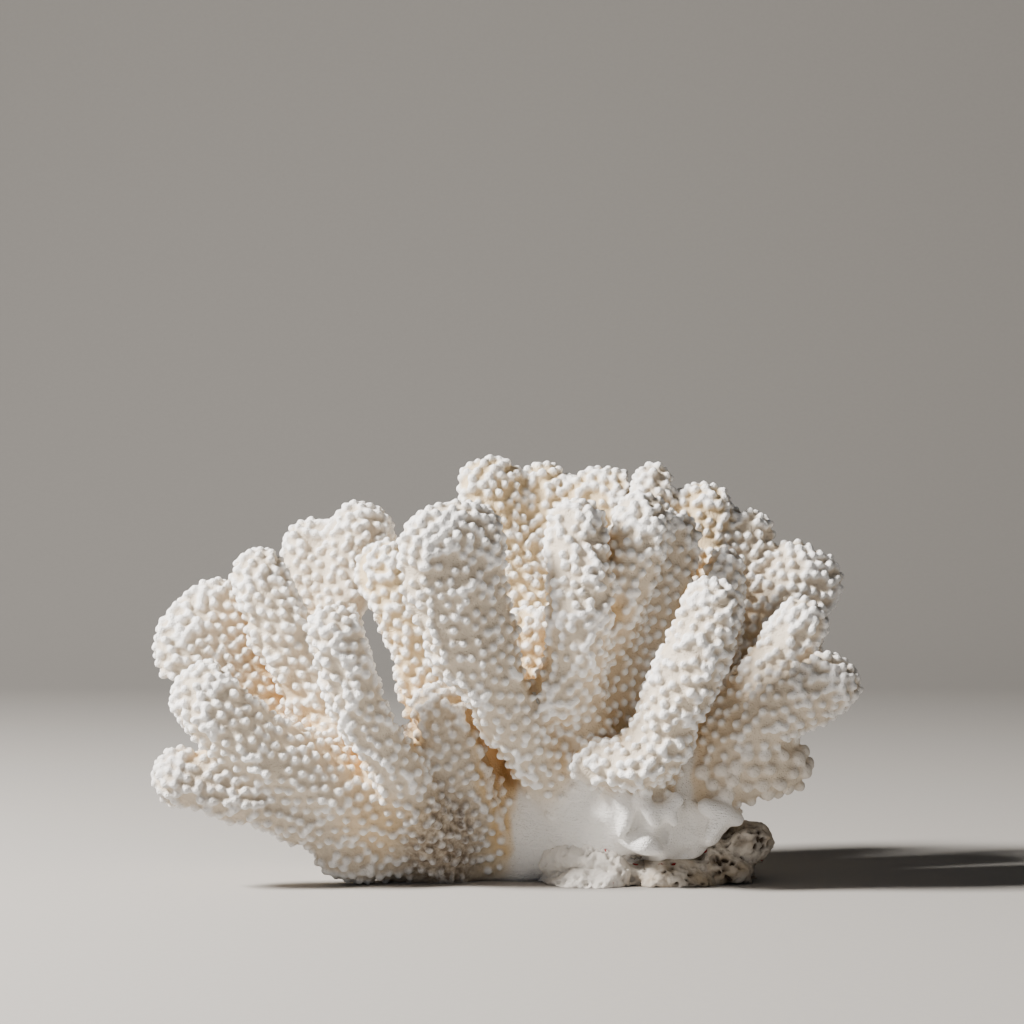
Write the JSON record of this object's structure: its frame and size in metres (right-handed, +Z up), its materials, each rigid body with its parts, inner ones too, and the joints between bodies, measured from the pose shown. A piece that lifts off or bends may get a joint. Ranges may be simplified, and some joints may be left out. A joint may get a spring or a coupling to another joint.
{
  "type": "cats paw coral",
  "caption": "Bleached branching coral colony: flattened, lump-covered branches with club and paddle ends fan out from short stems on a lump of reef rock with a flat cut foot.",
  "frame": {"origin": "under the middle of the colony, on the flat face it stands on", "axes": "+X along the fan, to the right as seen from its front, +Y to the back, +Z up"},
  "size_m": [0.2362, 0.1362, 0.1436],
  "materials": {
    "coral_white": "bleached coral skeleton, matt and finely porous, with white lump tips",
    "coral_cream": "bleached coral skeleton, matt, with a cream to golden skin between the lumps",
    "coral_old": "old coral skeleton, rough and matt, with brown-grey dirt in its hollows",
    "reef_rock": "porous reef limestone, rough and matt, with small red crusts"
  },
  "bodies": {
    "root": {"reef_rock": "reef_rock", "main_stem": "coral_white", "left_stem": "coral_old", "left_floor_branch": "coral_white", "front_left_finger": "coral_white", "stub_finger": "coral_white", "left_ridge_branch": "coral_white", "left_rib_finger": "coral_white", "left_outer_fan": "coral_white", "slit_branch": "coral_cream", "front_paddle": "coral_white", "centre_fork": "coral_white", "right_front_finger": "coral_white", "saddle_lobe": "coral_cream", "left_back_fan": "coral_white", "top_back_fan": "coral_cream", "top_back_finger": "coral_white", "right_thin_blade": "coral_cream", "right_small_knob": "coral_white", "right_mid_finger": "coral_white", "right_low_finger": "coral_white", "right_under_lobe": "coral_cream", "right_upper_fan": "coral_white", "back_left_wing": "coral_cream", "back_left_finger": "coral_white", "back_left_tall": "coral_white", "back_middle": "coral_white", "back_right_tall": "coral_white", "back_right_wing": "coral_cream", "back_low_lobe": "coral_cream"}
  },
  "joints": []
}
